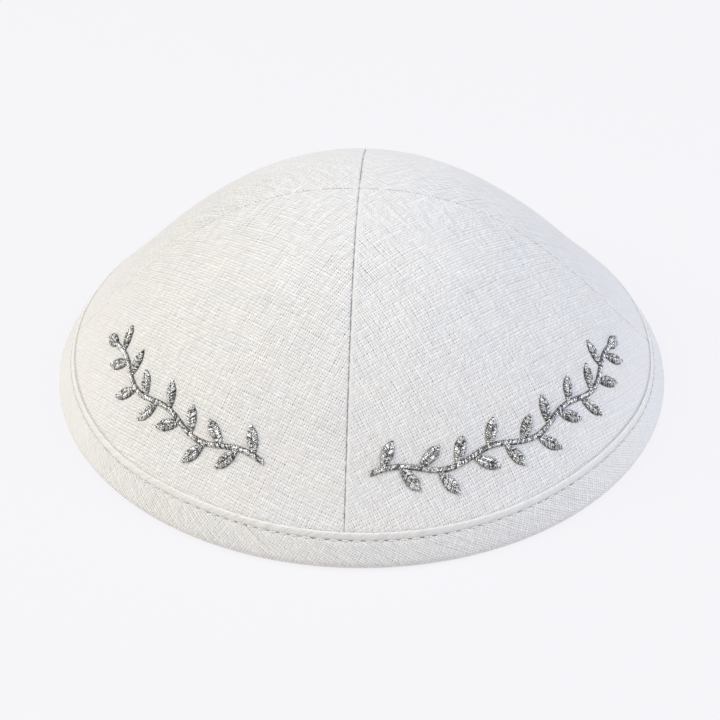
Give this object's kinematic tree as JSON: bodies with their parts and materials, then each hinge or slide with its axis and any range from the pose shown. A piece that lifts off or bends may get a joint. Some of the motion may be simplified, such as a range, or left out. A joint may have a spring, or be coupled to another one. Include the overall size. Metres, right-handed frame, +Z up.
{
  "type": "kippah skullcap",
  "caption": "Round domed skullcap of sewn linen panels with a bound rim, a piped edge and raised metallic leaf embroidery, open underneath for the head.",
  "frame": {"origin": "centre of the rim's underside, on the plane that the cap rests on", "axes": "+Z up towards the apex, -Y towards the front, where the embroidered sprigs are, +X to the right seen from the front"},
  "size_m": [0.1793, 0.1794, 0.0609],
  "materials": {
    "panel_linen": "plain-woven white linen, matt",
    "band_linen": "the same linen cut on the bias",
    "piping_linen": "the same linen rolled into a smooth edge, with white topstitching",
    "silver_thread": "metallic silver satin-stitch thread"
  },
  "bodies": {
    "root": {"panel_front_left": "panel_linen", "panel_front_right": "panel_linen", "panel_back_right": "panel_linen", "panel_back_left": "panel_linen", "rim_band": "band_linen", "piping": "piping_linen", "embroidery_left": "silver_thread", "embroidery_right": "silver_thread"}
  },
  "joints": []
}
